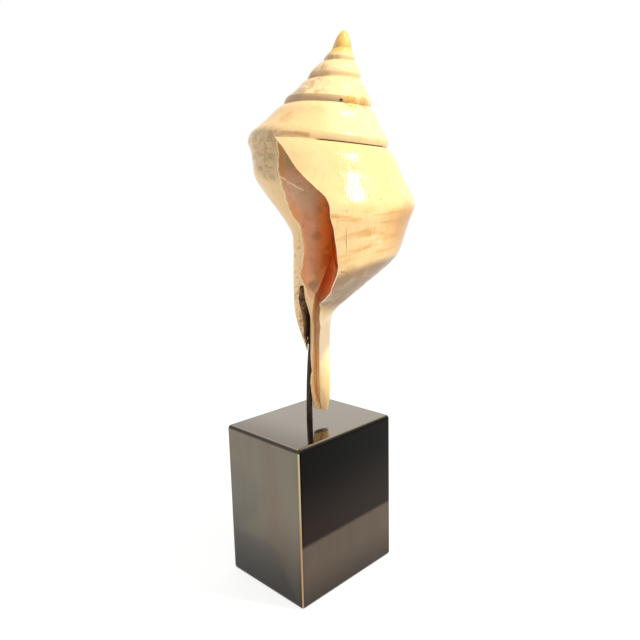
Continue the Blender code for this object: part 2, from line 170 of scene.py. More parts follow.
def smoothstep(low, high, value):
    """0 at the low value, 1 at the high one, eased between."""
    part = np.clip((value - low) / (high - low), 0.0, 1.0)
    return part * part * (3.0 - 2.0 * part)


def smooth_max(a, b, reach):
    """The larger of two values, rounded off where they meet."""
    near = np.maximum(0.0, 1.0 - np.abs(a - b) / reach)
    return np.maximum(a, b) + near * near * reach / 4.0


def unit(vector):
    """The vector at length 1."""
    return vector / np.linalg.norm(vector)


ACROSS_X = unit(np.array((1.0, 0.0, 0.0)) - AXIS_DOWN[0] * AXIS_DOWN)
ACROSS_Y = np.cross(-AXIS_DOWN, ACROSS_X)


def place(turn, radius, depth, share=None):
    """Points of the shell in metres, from arrays of growth turn, radius and depth."""
    turn, radius, depth = np.broadcast_arrays(*(np.asarray(x, float) for x in (turn, radius, depth)))
    if share is None:
        share = smoothstep(CANAL_OFF_FROM, CANAL_OFF_TO, depth)
    share = np.broadcast_to(share, depth.shape)
    low = np.maximum(0.0, (depth - LEAN_START) / (CANAL_TIP - LEAN_START))
    lean = CANAL_LEAN * low**LEAN_CURVE
    below = depth - BEND_HEIGHT
    moved = (np.sqrt(below**2 + BEND_EASE**2) + below) / 2.0
    middle = APEX + depth[..., None] * AXIS_DOWN
    middle = middle + (BEND_SLOPE * moved + share * CANAL_RIGHT)[..., None] * RIGHT
    middle = middle + (BEND_FORWARD * moved + share * CANAL_FRONT - lean)[..., None] * FRONT
    bearing = LIP_BEARING - 2.0 * pi * turn
    radius = radius * (1.0 - CANAL_FLATTENING * share * np.cos(2.0 * pi * turn) ** 2)
    out = np.cos(bearing)[..., None] * ACROSS_X + np.sin(bearing)[..., None] * ACROSS_Y
    return MM * (middle + radius[..., None] * out)


def rod_point(height):
    """The middle of the rod at this height, in millimetres."""
    above = max(0.0, height - BLOCK_HEIGHT)
    curved = min(above, ROD_STRAIGHT_ABOVE - BLOCK_HEIGHT)
    lean = ROD_LEAN_RATE * curved * curved + 2.0 * ROD_LEAN_RATE * curved * (above - curved)
    return np.array((0.0, 0.0, height)) + lean * RIGHT - ROD_BACKWARD * lean * FRONT


def keel(turn):
    """Radius and depth of the keel."""
    radius = KEEL_RADIUS * np.exp(np.log(KEEL_GROWTH) * turn - KEEL_SLOWING * turn * turn)
    drop = LIP_DROP * np.exp(np.minimum(turn, LIP_DROP_LAST) / LIP_DROP_TURNS)
    return radius, KEEL_DEPTH * DEPTH_GROWTH**turn + drop


def below_keel(turn):
    """Radius and depth of the wall's step under the keel, where the next whorl's suture lies."""
    radius, depth = keel(turn)
    return BAND_OVERHANG * radius, depth + BAND_HEIGHT * (1.0 - np.exp(-radius / BAND_RADIUS))


def neck_radius(depth):
    """Radius of the columella's end and, further down, of the canal."""
    neck_part = smoothstep(NECK_TOP, NECK_END, depth)
    tip_part = smoothstep(CANAL_TIP_START, CANAL_TIP, depth)
    narrowed = NECK_RADIUS + (CANAL_RADIUS - NECK_RADIUS) * neck_part
    return narrowed + (CANAL_TIP_RADIUS - CANAL_RADIUS) * tip_part


def wall_point(turn, row):
    """Radius and depth of a station of the wall, whose shape changes as the shell grows."""
    usual_down, lip_down, early_part, late_part = WALL[row]
    radius, depth = keel(turn)
    down = usual_down + (lip_down - usual_down) * smoothstep(LIP_REGION, 0.0, turn)
    late = np.clip((turn - EARLY_TURN) / (LATE_TURN - EARLY_TURN), LEAST_LATE, MOST_LATE)
    return radius * (early_part + (late_part - early_part) * late), depth + down * radius


def section_point(turn, station):
    """Radius and depth of any station of the section, from the suture to the canal's end."""
    if station < KEEL_STATION:
        out, down = RAMP[station]
        start_radius, start_depth = below_keel(turn - 1.0)
        radius, depth = keel(turn)
        return start_radius + out * (radius - start_radius), start_depth + down * (depth - start_depth)
    if station == KEEL_STATION:
        return keel(turn)
    if station == SUTURE_STATION:
        return below_keel(turn)
    radius, depth = wall_point(turn, min(station - SUTURE_STATION - 1, len(WALL) - 1))
    if station >= NECK_STATION:
        below = (CANAL_TIP - depth) * NECK_PARTS[station - NECK_STATION]
        depth = depth + below
        radius = radius * (1.0 - smoothstep(0.0, WALL_FADE, below))
    return smooth_max(radius, neck_radius(depth), NECK_EASE), depth


def lead(station):
    """How many turns a growth line runs ahead at this station."""
    if station < KEEL_STATION:
        return KEEL_LEAD + SUTURE_LEAD / LINES_PER_TURN * (1.0 - RAMP[station][0]) ** RAMP_SWEEP
    leads = (KEEL_LEAD, KEEL_LEAD, *WALL_LEADS, *NECK_LEADS)
    below = station - KEEL_STATION
    return leads[below] if below < len(leads) else 0.0


def cubic(t, a, b, start, end, gap):
    """The point at part t of the way from a to b, with these slopes where it leaves and arrives."""
    return (
        (2 * t**3 - 3 * t**2 + 1) * a
        + (t**3 - 2 * t**2 + t) * gap * start
        + (3 * t**2 - 2 * t**3) * b
        + (t**3 - t**2) * gap * end
    )


def coarse_lines(lines):
    """The solid's own stations of these growth lines: an array (line, station, turn radius depth)."""
    turn = np.asarray(lines, float) / LINES_PER_TURN
    rows = []
    for station in range(STATIONS):
        at = turn + lead(station)
        rows.append(np.stack([at, *section_point(at, station)], axis=-1))
    return np.stack(rows, axis=1)


def station_marks(first, last):
    """Where the fine stations lie between two of the solid's, as (station, part of the next)."""
    marks = [(s, k / FINE_STEPS[s]) for s in range(first, last) for k in range(FINE_STEPS[s])]
    return marks + [(last, 0.0)]


def fine_lines(coarse, marks):
    """A smooth curve through the solid's stations: cubic pieces that keep to uneven spacing."""
    step = np.hypot(np.diff(coarse[..., 1], axis=1), np.diff(coarse[..., 2], axis=1))[..., None]
    slope = np.diff(coarse, axis=1) / step
    inner = (slope[:, :-1] * step[:, 1:] + slope[:, 1:] * step[:, :-1]) / (step[:, 1:] + step[:, :-1])
    tangent = np.concatenate([slope[:, :1], inner, slope[:, -1:]], axis=1)
    rows = []
    for s, t in marks:
        if t == 0.0:
            rows.append(coarse[:, s])
            continue
        ends = coarse[:, s], coarse[:, s + 1], tangent[:, s], tangent[:, s + 1]
        rows.append(cubic(t, *ends, step[:, s]))
    return np.stack(rows, axis=1)


# The fine stations, and how far across the whorl each lies: 1 at the keel, 1.1 at the step under
# it, then on with the wall's depth, and 3.1 at the canal's end.
MARKS = station_marks(0, STATIONS - 1)
ACROSS_AT = [out for out, _ in RAMP] + [1.0, 1.1] + [1.1 + row[0] for row in WALL]
ACROSS_AT += [2.25 + 0.85 * part for part in NECK_PARTS]
ACROSS = np.array([np.interp(s + t, range(STATIONS), ACROSS_AT) for s, t in MARKS])
KEEL_MARK = MARKS.index((KEEL_STATION, 0.0))
SUTURE_MARK = MARKS.index((SUTURE_STATION, 0.0))
NECK_MARK = MARKS.index((NECK_STATION, 0.0))
# The fine stations that the hollow follows on its outer wall and on the whorl before it.
OUTER_MARKS = slice(2, NECK_MARK - 4)
INNER_MARKS = slice(SUTURE_MARK + 2, NECK_MARK)


def offset(lines, inset):
    """The growth lines set in by this many millimetres, square to the wall."""
    before = np.concatenate([lines[:, :1], lines[:, :-1]], axis=1)
    after = np.concatenate([lines[:, 1:], lines[:, -1:]], axis=1)
    run, fall = (after - before)[..., 1], (after - before)[..., 2]
    size = np.maximum(np.hypot(run, fall), 1e-9)
    moved = lines.copy()
    moved[..., 1] -= inset * fall / size
    moved[..., 2] += inset * run / size
    return moved


def lines_of(numbers):
    """Growth lines with the last keel worn round, a wavy lip and rounder first whorls."""
    lines = fine_lines(coarse_lines(numbers), MARKS)
    near = slice(KEEL_MARK - KEEL_WORN, KEEL_MARK + KEEL_WORN + 1)
    for _ in range(KEEL_WEAR):
        old = lines[:, KEEL_MARK - KEEL_WORN - 1 : KEEL_MARK + KEEL_WORN + 2]
        worn = (old[:, :-2] + 2.0 * old[:, 1:-1] + old[:, 2:]) / 4.0
        share = smoothstep(WEAR_STARTS, WEAR_FULL, lines[:, near, :1])
        lines[:, near] += share * (worn - lines[:, near])
    wave = sum(share * np.sin(rate * ACROSS + shift) for rate, shift, share in LIP_WAVES)
    near_lip = smoothstep(WAVE_STARTS, 0.0, np.asarray(numbers) / LINES_PER_TURN)[:, None]
    lines[..., 0] += LIP_WAVE * wave * near_lip
    first_whorls = smoothstep(BULGE_STARTS, BULGE_FULL, lines[:, :KEEL_MARK, 0])
    bulge = np.sin(pi * ACROSS[:KEEL_MARK]) * first_whorls
    lines[:, :KEEL_MARK, 1] *= 1.0 + SPIRE_BULGE * bulge
    return lines


def round_tip(mesh):
    """The first whorls end in a blunt dome that leans over a little."""
    bm = bmesh.new()
    bm.from_mesh(mesh)
    apex = max(bm.verts, key=lambda vertex: vertex.co.z)
    bmesh.ops.subdivide_edges(bm, edges=list(apex.link_edges), cuts=TIP_CUTS)
    for vertex in bm.verts:
        point = np.array(vertex.co) / MM
        below = max(0.0, TIP_HEIGHT - point[2])
        if below > TIP_DOME:
            continue
        axis = APEX + (APEX - point)[2] / -AXIS_DOWN[2] * AXIS_DOWN
        out = point - axis
        reach = max(float(np.linalg.norm(out[:2])), 0.01)
        share = float(smoothstep(1.0, TIP_BLEND, below / TIP_DOME))
        out *= 1.0 + share * (TIP_ROUND * sqrt(below) / reach - 1.0)
        vertex.co = MM * (axis + out - TIP_BEND * (1.0 - below / TIP_DOME) * RIGHT)
    bm.to_mesh(mesh)
    bm.free()


def quad(bm, uv, corners, marks):
    """One face, with its growth turn and place across as UV, leaving out a repeated corner."""
    kept, seen = [], []
    for vert, mark in zip(corners, marks):
        if vert not in seen:
            seen.append(vert)
            kept.append(mark)
    if len(seen) < 3:
        return
    face = bm.faces.new(seen)
    for loop, mark in zip(face.loops, kept):
        loop[uv].uv = mark


def join_rows(bm, uv, first, second):
    """Faces between two rows of (vertex, (turn, across))."""
    for a, b, c, d in zip(first, first[1:], second[1:], second):
        quad(bm, uv, (a[0], b[0], c[0], d[0]), (a[1], b[1], c[1], d[1]))


def build_outside(bm, uv):
    """The filled outside: growth lines joined along the sutures, closed at the lip and the tip."""
    first_line = round(FIRST_TURN * LINES_PER_TURN)
    next_whorl = LINES_PER_TURN - SUTURE_LEAD
    numbers = range(first_line, 1)
    lines = lines_of(numbers)
    points = place(lines[..., 0], lines[..., 1], lines[..., 2])
    first_radius, first_depth = keel(FIRST_TURN)
    tip = place(FIRST_TURN, 0.0, first_depth - APEX_RISE * first_radius)
    apex = bm.verts.new(tip)
    rows = {}
    for number, line, line_points in zip(numbers, lines, points):
        last = len(MARKS) if number >= -next_whorl else SUTURE_MARK + 1
        above = rows.get(number - next_whorl)
        verts = [above[SUTURE_MARK][0] if above else apex]
        verts += [bm.verts.new(point) for point in line_points[1:last]]
        rows[number] = [(vert, (line[k, 0], ACROSS[k])) for k, vert in enumerate(verts)]
    for number in range(first_line, 0):
        join_rows(bm, uv, rows[number][: SUTURE_MARK + 1], rows[number + 1][: SUTURE_MARK + 1])
    for number in range(-next_whorl, 0):
        join_rows(bm, uv, rows[number][SUTURE_MARK:], rows[number + 1][SUTURE_MARK:])
    # The first line, the lip and the canal's end are closed.
    hidden = rows[first_line + next_whorl][0]
    join_rows(bm, uv, rows[first_line][: SUTURE_MARK + 1], [hidden] * (SUTURE_MARK + 1))
    lip = [(vert, (LIP_EDGE_TURN, across)) for vert, (_, across) in rows[0]]
    inner = rows[-next_whorl]
    join_rows(bm, uv, lip[: SUTURE_MARK + 1], [inner[SUTURE_MARK]] * (SUTURE_MARK + 1))
    join_rows(bm, uv, lip[SUTURE_MARK:], inner[SUTURE_MARK:])
    bm.faces.new([rows[number][-1][0] for number in range(-next_whorl, 1)])


def loft(bm, uv, rings, marks=None):
    """A closed solid through rings of equal length."""
    rows = []
    for index, ring in enumerate(rings):
        ring_marks = marks[index] if marks is not None else [(0.0, 0.0)] * len(ring)
        row = [(bm.verts.new(point), mark) for point, mark in zip(ring, ring_marks)]
        rows.append([*row, row[0]])
    for row, after in zip(rows, rows[1:]):
        join_rows(bm, uv, row, after)
    for row in (rows[0], rows[-1]):
        bm.faces.new([vert for vert, _ in row[:-1]])


def build_hollow(bm, uv):
    """The space inside the last turn: down the outer wall, then up the columella."""
    numbers = np.arange(HOLLOW_AHEAD, -round(HOLLOW_TURNS * LINES_PER_TURN), -HOLLOW_STRIDE)
    turns = numbers / LINES_PER_TURN
    wall = LIP_WALL + (SHELL_WALL - LIP_WALL) * smoothstep(0.0, WALL_FULL, turns)[:, None]
    outer = offset(lines_of(numbers), wall)[:, OUTER_MARKS]
    inner = offset(lines_of(numbers - LINES_PER_TURN + SUTURE_LEAD), -CALLUS)[:, INNER_MARKS]
    turn, radius, top = inner[:, -1, 0], inner[:, -1, 1], inner[:, -1, 2]
    bottom = outer[:, -1, 2] - HOLLOW_HEEL
    steps = []
    for step in range(1, COLUMELLA_STEPS + 1):
        part = step / COLUMELLA_STEPS
        level = top + (bottom - top) * part
        column = neck_radius(level) + CALLUS
        steps.append(np.stack([turn, column + (radius - column) * (1.0 - part) ** 2, level], axis=-1))
    columella = np.stack(steps, axis=1)
    rings = np.concatenate([outer, columella[:, ::-1], inner[:, ::-1]], axis=1)
    points = place(rings[..., 0], rings[..., 1], rings[..., 2])
    across = [*ACROSS[OUTER_MARKS], *[COLUMELLA_ACROSS] * COLUMELLA_STEPS, *-ACROSS[INNER_MARKS][::-1]]
    loft(bm, uv, points, [[(turn, a) for a in across] for turn in turns])


def eased(rows, steps):
    """A table's rows with this many smooth steps from each to the next."""
    rows = np.array(rows)
    gaps = np.diff(rows[:, 0])[:, None]
    slopes = np.diff(rows, axis=0) / gaps
    inner = (slopes[:-1] * gaps[1:] + slopes[1:] * gaps[:-1]) / (gaps[1:] + gaps[:-1])
    slopes = np.concatenate([slopes[:1], inner, slopes[-1:]])
    found = []
    for a, b, start, end, gap in zip(rows, rows[1:], slopes, slopes[1:], gaps):
        for t in np.arange(steps) / steps:
            found.append(cubic(t, a, b, start, end, gap))
    return [*found, rows[-1]]


def slot_ring(middle, radius, half_width, facing, reach):
    """One ring of a round hole that opens to its facing through a slot."""
    start = asin(half_width / radius)
    angles = np.linspace(start, 2.0 * pi - start, SLOT_SIDES + 1)
    along = np.concatenate([radius * np.cos(angles), [reach, reach]])
    aside = np.concatenate([radius * np.sin(angles), [-half_width, half_width]])
    ahead = unit(cos(facing) * FRONT - sin(facing) * RIGHT)
    beside = np.cross((0.0, 0.0, 1.0), ahead)
    return MM * (middle + along[:, None] * ahead + aside[:, None] * beside)


def build_channel(bm, uv):
    """The space in the canal, from its funnel to its end."""
    rings = []
    for depth, to_right, radius, half_width, facing in eased(CHANNEL, TABLE_STEPS):
        middle = place(0.0, 0.0, depth, 1.0) / MM + to_right * RIGHT
        rings.append(slot_ring(middle, radius, half_width, facing, SLOT_REACH))
    loft(bm, uv, rings)


def build_umbilicus(bm, uv):
    """The cleft beside the columella, along the rod."""
    table = eased(UMBILICUS, TABLE_STEPS)
    rings = [slot_ring(rod_point(height), *opening) for height, *opening in table]
    loft(bm, uv, rings)


def build_canal_wall(bm, uv):
    """The canal's own tube, which stays whole beside the umbilicus."""
    turns = np.arange(CANAL_SIDES) / CANAL_SIDES
    rings = [place(turns, radius, depth, 1.0) for depth, radius in eased(CANAL_WALL, TABLE_STEPS)]
    loft(bm, uv, rings, [[CANAL_WALL_MARK] * CANAL_SIDES] * len(rings))


def build_block(bm, uv):
    """The block with its edges rounded."""
    bmesh.ops.create_cube(bm, size=1.0)
    bmesh.ops.scale(bm, vec=(MM * BLOCK_WIDTH, MM * BLOCK_DEPTH, MM * BLOCK_HEIGHT), verts=bm.verts)
    bmesh.ops.translate(bm, vec=(0.0, 0.0, MM * BLOCK_HEIGHT / 2.0), verts=bm.verts)
    bmesh.ops.bevel(
        bm,
        geom=bm.edges[:],
        offset=MM * BLOCK_ROUNDING,
        offset_type="OFFSET",
        segments=ROUNDING_STEPS,
        profile=0.5,
        affect="EDGES",
        material=-1,
    )


def build_socket(bm, uv):
    """The hole that the rod stands in, with a little room round it."""
    bmesh.ops.create_cone(
        bm,
        cap_ends=True,
        segments=SOCKET_SIDES,
        radius1=MM * SOCKET_RADIUS,
        radius2=MM * SOCKET_RADIUS,
        depth=2.0 * MM * SOCKET_DEPTH,
        matrix=Matrix.Translation((0.0, 0.0, MM * BLOCK_HEIGHT)),
    )


def mesh_object(name, builder, *materials):
    """A named object whose mesh the builder fills."""
    bm = bmesh.new()
    uv = bm.loops.layers.uv.new("growth")
    builder(bm, uv)
    bmesh.ops.recalc_face_normals(bm, faces=bm.faces)
    mesh = bpy.data.meshes.new(name)
    bm.to_mesh(mesh)
    bm.free()
    mesh.shade_smooth()
    for material in materials:
        mesh.materials.append(material)
    obj = bpy.data.objects.new(name, mesh)
    bpy.context.scene.collection.objects.link(obj)
    return obj


def carve(obj, steps):
    """Runs the Booleans and keeps their result as the object's mesh."""
    for builder, operation, material in steps:
        helper = mesh_object("helper", builder, material)
        modifier = obj.modifiers.new("carve", "BOOLEAN")
        modifier.operation = operation
        modifier.object = helper
        # The exact solver loses the whole shell where the canal's tube meets its outside.
        modifier.solver = "MANIFOLD"
        modifier.material_mode = "TRANSFER"
        bpy.context.view_layer.update()
        graph = bpy.context.evaluated_depsgraph_get()
        carved = bpy.data.meshes.new_from_object(obj.evaluated_get(graph))
        obj.modifiers.clear()
        obj.data = carved
        bpy.data.objects.remove(helper)


def linear(code):
    """An sRGB hex colour as linear red, green, blue and alpha."""
    parts = [int(code[i : i + 2], 16) / 255.0 for i in (0, 2, 4)]
    return (*(p / 12.92 if p <= 0.04045 else ((p + 0.055) / 1.055) ** 2.4 for p in parts), 1.0)


def new_material(name, roughness, metallic=0.0):
    """A material's tree and its Principled shader."""
    material = bpy.data.materials.new(name)
    material.use_nodes = True
    shader = material.node_tree.nodes["Principled BSDF"]
    shader.inputs["Roughness"].default_value = roughness
    shader.inputs["Metallic"].default_value = metallic
    return material, material.node_tree, shader


def add(tree, kind, *values, out=0, **settings):
    """Adds a node, links or sets its inputs in their order, and gives back one output."""
    node = tree.nodes.new("ShaderNode" + kind)
    for name, value in settings.items():
        setattr(node, name, value)
    for socket, value in zip([i for i in node.inputs if i.enabled], values):
        if isinstance(value, bpy.types.NodeSocket):
            tree.links.new(value, socket)
        elif value is not None:
            socket.default_value = value
    return [o for o in node.outputs if o.enabled][out]


def rise(tree, value, low, high):
    """0 below the low value, 1 above the high one, eased between."""
    return add(tree, "MapRange", value, low, high, 0.0, 1.0, interpolation_type="SMOOTHSTEP")


def times(tree, first, *others):
    """A product of masks."""
    for other in others:
        first = add(tree, "Math", first, other, operation="MULTIPLY")
    return first


def window(tree, value, low, high, edge):
    """1 between the two values, with soft edges."""
    inside = rise(tree, value, low - edge, low + edge)
    return times(tree, inside, rise(tree, value, high + edge, high - edge))


def spot(tree, where, centre, radius, edge):
    """1 within this many millimetres of a point."""
    apart = add(tree, "VectorMath", where, centre, operation="DISTANCE")
    return rise(tree, apart, radius + edge, radius - edge)


def streak(tree, where, start, end, width):
    """1 along a straight line between two points, this many millimetres wide."""
    run = Vector(end) - Vector(start)
    from_start = add(tree, "VectorMath", where, start, operation="SUBTRACT")
    along = add(tree, "VectorMath", from_start, run / run.length_squared, operation="DOT_PRODUCT")
    along = add(tree, "Clamp", along, 0.0, 1.0)
    nearest = add(tree, "VectorMath", run, along, operation="SCALE")
    apart = add(tree, "VectorMath", from_start, nearest, operation="DISTANCE")
    return rise(tree, apart, width * 0.75, width * 0.25)


def paint(tree, under, mask, over):
    """A colour, as a hex code or a socket, laid over another one where the mask is 1."""
    if isinstance(over, str):
        over = linear(over)
    return add(tree, "Mix", mask, under, over, data_type="RGBA", clamp_factor=True)


def paint_spots(tree, colour, where, spots):
    """Stains and patches whose edges break up; each is (point in millimetres, radius, strength, colour).
    """
    for centre, radius, strength, code in spots:
        broken = cloud(tree, where, 0.35 * radius + 1.0, 0.3, 0.55, 4.0)
        stain = times(tree, spot(tree, where, centre, radius, 0.35 * radius), broken, strength)
        colour = paint(tree, colour, stain, code)
    return colour


def paint_streaks(tree, colour, where, streaks):
    """Thin marks; each is (start, end, width, colour)."""
    for start, end, width, code in streaks:
        colour = paint(tree, colour, times(tree, streak(tree, where, start, end, width), 0.8), code)
    return colour


def millimetres(tree):
    """Object coordinates in millimetres, and how far right, in front and up they lie."""
    where = add(tree, "TexCoord", out=3)
    where = add(tree, "VectorMath", where, 1.0 / MM, operation="SCALE")
    right = add(tree, "VectorMath", where, RIGHT, operation="DOT_PRODUCT")
    front = add(tree, "VectorMath", where, FRONT, operation="DOT_PRODUCT")
    return where, right, front, add(tree, "SeparateXYZ", where, out=2)


def growth(tree):
    """The growth turn and the place across the whorl."""
    marks = add(tree, "UVMap", uv_map="growth")
    return add(tree, "SeparateXYZ", marks), add(tree, "SeparateXYZ", marks, out=1)


def growth_noise(tree, turn, across, by_turn, by_across, detail=2.0):
    """Marks drawn out by growth, this many to a turn and to the ramp's width.

    On the last whorl a turn is about 600 mm long and the ramp 60 mm wide: 330 marks to a turn are
    growth lines 2 mm apart, and 60 across are threads 1 mm wide.
    """
    turn = add(tree, "Math", turn, by_turn, operation="MULTIPLY")
    across = add(tree, "Math", across, by_across, operation="MULTIPLY")
    return add(tree, "TexNoise", add(tree, "CombineXYZ", turn, across), 1.0, detail, 0.55)


def cloud(tree, where, size, low, high, detail=3.0):
    """Soft patches of about this many millimetres."""
    return rise(tree, add(tree, "TexNoise", where, 1.0 / size, detail, 0.55), low, high)


def roughen(tree, shader, relief, strength):
    """Relief that is too fine for the mesh, in millimetres."""
    tree.links.new(add(tree, "Bump", strength, MM, None, relief), shader.inputs["Normal"])


def let_light_through(shader, weight):
    """The wall is thin enough to glow where strong light falls on its other side."""
    shader.inputs["Subsurface Weight"].default_value = weight
    shader.inputs["Subsurface Radius"].default_value = (1.0, 0.5, 0.25)
    shader.inputs["Subsurface Scale"].default_value = 0.019


# Stains in the glaze: (point in millimetres, radius, strength, colour).
GLAZE_SPOTS = (
    ((23.3, -7.0, 332.3), 4.2, 0.3, "7E4A30"),
    ((23.3, -7.0, 333.5), 2.6, 0.5, "B07850"),
    ((19.2, -9.6, 287.1), 5.0, 0.55, "7E6038"),
    ((26.2, 2.3, 310.2), 6.0, 0.35, "8A4A2C"),
    ((30.0, -46.0, 396.0), 7.0, 0.5, "8C7648"),
)
# Its pale scar and its scratches: (start, end, width, colour).
GLAZE_STREAKS = (
    ((16.2, -41.6, 383.6), (23.2, -35.5, 377.6), 1.6, "E8C69C"),
    ((23.2, -35.5, 377.6), (27.9, -27.2, 372.4), 1.6, "E8C69C"),
    ((14.8, -24.0, 362.0), (24.0, -17.0, 358.5), 0.8, "7A5238"),
    ((9.2, -17.5, 343.5), (16.5, -11.0, 339.0), 0.8, "7A5238"),
)


def glaze_glow_and_shade_colour(tree, where, right, front, height):
    """The mouth's glaze: pinkish tan near the edge, orange brown and then red-orange deep inside; the
    red-orange is partly painted glow of light through the thin lip, and the browner top partly painted
    shade.
    """
    colour = paint(tree, linear("C4997A"), rise(tree, front, 30.0, 19.0), "CC8C5C")
    # Red-orange towards the lip: the glaze's own orange, brightened as painted glow of light through the
    # thin lip.
    colour = paint(tree, colour, rise(tree, right, 9.0, 24.0), "FF9448")
    colour = paint(tree, colour, rise(tree, right, 30.0, 48.0), "BC8458")
    # Browner towards the top: partly the glaze's own colour, partly painted shade.
    colour = paint(tree, colour, rise(tree, height, 366.0, 396.0), "A4703C")
    colour = paint(tree, colour, times(tree, cloud(tree, where, 9.0, 0.5, 0.75), 0.45), "9A6038")
    colour = paint(tree, colour, times(tree, cloud(tree, where, 16.0, 0.52, 0.72), 0.35), "D8B48C")
    for centre, radius, strength, code in GLAZE_SPOTS:
        colour = paint(tree, colour, times(tree, spot(tree, where, centre, radius, 1.8), strength), code)
    colour = paint_streaks(tree, colour, where, GLAZE_STREAKS)
    # The canal's lining is cream.
    return paint(tree, colour, rise(tree, height, 290.0, 258.0), "F0CCA2")


# Stains and darker patches on the outside: (point in millimetres, radius, strength, colour).
OUTSIDE_SPOTS = (
    ((26.8, -4.6, 471.5), 5.0, 0.5, "A8866E"),
    ((34.6, -2.8, 468.8), 4.0, 0.45, "B08A60"),
    ((30.1, 7.3, 484.8), 3.5, 0.55, "98784C"),
    ((36.3, 9.4, 484.0), 2.5, 0.45, "98784C"),
    ((34.3, 14.4, 495.7), 2.6, 0.45, "988650"),
    ((21.1, -21.1, 454.1), 7.0, 0.6, "98806A"),
    ((27.8, -13.2, 460.5), 3.0, 0.5, "A88868"),
    ((23.5, -40.3, 431.8), 7.0, 0.5, "B08A5C"),
    ((14.0, -19.5, 452.0), 10.0, 0.5, "A08A70"),
    ((57.5, 2.5, 444.0), 6.5, 0.8, "B8863C"),
    ((59.1, 17.6, 444.1), 6.0, 0.8, "B08448"),
    ((53.8, -5.5, 444.6), 1.6, 1.0, "2E2418"),
    # A darker patch on the right of the last whorl's wall.
    ((95.3, 27.5, 344.5), 18.0, 0.5, "B08052"),
    ((98.5, 4.1, 340.0), 16.0, 0.3, "C48E54"),
    ((85.5, -32.7, 305.0), 7.0, 0.4, "A87E54"),
    ((52.8, -2.0, 470.0), 4.0, 0.5, "A88050"),
)
# Checks and hairlines: (start, end, width, colour).
OUTSIDE_STREAKS = (
    ((29.3, -50.5, 418.6), (41.4, -46.3, 416.8), 2.6, "B8925E"),
    ((41.4, -46.3, 416.8), (50.2, -41.4, 415.0), 3.4, "B08854"),
    ((92.7, -43.1, 354.7), (89.7, -41.5, 331.6), 0.9, "A98258"),
    ((89.7, -41.5, 331.6), (84.9, -35.7, 303.3), 0.9, "8E6C48"),
    ((100.0, -20.7, 348.0), (94.5, -14.7, 322.0), 0.6, "DCC194"),
    ((84.2, -41.9, 306.3), (87.7, -20.5, 304.6), 1.6, "A67C50"),
)
# The glaze's edge on the whorl before it: (part of the way up, part of the way from left to right).
GLAZE_LOW, GLAZE_HIGH, GLAZE_REACH = 270.0, 410.0, 20.0
GLAZE_EDGE = (
    (0.0, 0.62),
    (0.1, 0.51),
    (0.19, 0.4),
    (0.27, 0.455),
    (0.42, 0.47),
    (0.51, 0.41),
    (0.58, 0.255),
    (0.71, 0.11),
    (0.85, 0.02),
    (0.95, 0.03),
    (1.0, 0.03),
)


def outside_marks(tree):
    """Where a point of the outside lies, what part of the shell it is, and its growth patterns."""
    at = SimpleNamespace()
    at.where, at.right, at.front, at.height = millimetres(tree)
    at.turn, at.across = growth(tree)
    at.last_turn = rise(tree, at.turn, -1.02, -0.98)
    at.spire = rise(tree, at.turn, -1.4, -2.2)
    at.earlier = rise(tree, at.turn, -0.45, -0.6)
    at.fasciole = times(tree, at.earlier, rise(tree, at.across, 2.25, 2.4))
    at.drawn = growth_noise(tree, at.turn, at.across, 46.0, 5.0, 3.0)
    at.lines = growth_noise(tree, at.turn, at.across, 330.0, 3.0)
    at.threads = growth_noise(tree, at.turn, at.across, 2.0, 60.0)
    at.lamellae = growth_noise(tree, at.turn, at.across, 14.0, 46.0, 3.0)
    last = times(tree, window(tree, at.turn, -0.2, 0.02, 0.01), rise(tree, at.across, 0.035, 0.012))
    older = times(tree, window(tree, at.turn, -1.165, -0.985, 0.005), rise(tree, at.across, 1.092, 1.097))
    at.crack = add(tree, "Math", last, older, operation="MAXIMUM")
    return at


def ground_colour(tree, at):
    """Cream, golden at the tip, apricot under the last keel, brown on the base as partly painted shade,
    and pale on the blade as painted light.
    """
    colour = paint(tree, linear("D3BD98"), at.last_turn, "D0B088")
    colour = paint(tree, colour, rise(tree, at.height, 484.0, 492.0), "CFA862")
    under_keel = times(tree, at.last_turn, rise(tree, at.across, 0.97, 1.12))
    colour = paint(tree, colour, under_keel, "DABA8C")
    # The base's brown is partly its own tone and partly painted shade of the underside, darker again
    # lower down.
    base = times(
        tree,
        rise(tree, at.turn, -0.75, -0.2),
        rise(tree, at.across, 1.57, 1.66),
        rise(tree, at.across, 2.3, 2.1),
    )
    colour = paint(tree, colour, base, "9A8068")
    colour = paint(tree, colour, times(tree, base, rise(tree, at.across, 1.66, 1.8)), "886848")
    colour = paint(tree, colour, times(tree, at.fasciole, 0.35), "E4C79A")
    # Painted light: the blade is made pale from about 195 to 278 mm up, where the lip shades it.
    blade = times(tree, rise(tree, at.height, 195.0, 225.0), rise(tree, at.height, 278.0, 248.0))
    return paint(tree, colour, times(tree, blade, rise(tree, at.right, 8.0, 13.0), 0.85), "F4DFC0")


def growth_colour(tree, at, colour):
    """Clouds and brush marks drawn out by growth, the fine growth lines and the spire's threads."""
    colour = paint(tree, colour, times(tree, rise(tree, at.drawn, 0.5, 0.78), 0.4), "C79A62")
    brushed = growth_noise(tree, at.turn, at.across, 16.0, 14.0, 4.0)
    below_keel = window(tree, at.across, 1.03, 1.55, 0.07)
    brushed = times(tree, rise(tree, brushed, 0.46, 0.7), below_keel, at.last_turn, 0.75)
    colour = paint(tree, colour, brushed, "BC8850")
    colour = paint(tree, colour, times(tree, cloud(tree, at.where, 24.0, 0.5, 0.75), 0.4), "DCC8A6")
    # Tan where the wall turns away from the mouth.
    side = times(tree, window(tree, at.across, 1.06, 1.6, 0.05), at.last_turn)
    colour = paint(tree, colour, times(tree, side, rise(tree, at.right, 60.0, 88.0), 0.8), "AC8254")
    colour = paint(tree, colour, times(tree, rise(tree, at.lines, 0.54, 0.78), 0.24), "B0844E")
    threads = times(tree, rise(tree, at.threads, 0.5, 0.7), at.spire, 0.6)
    return paint(tree, colour, threads, "AE8A60")


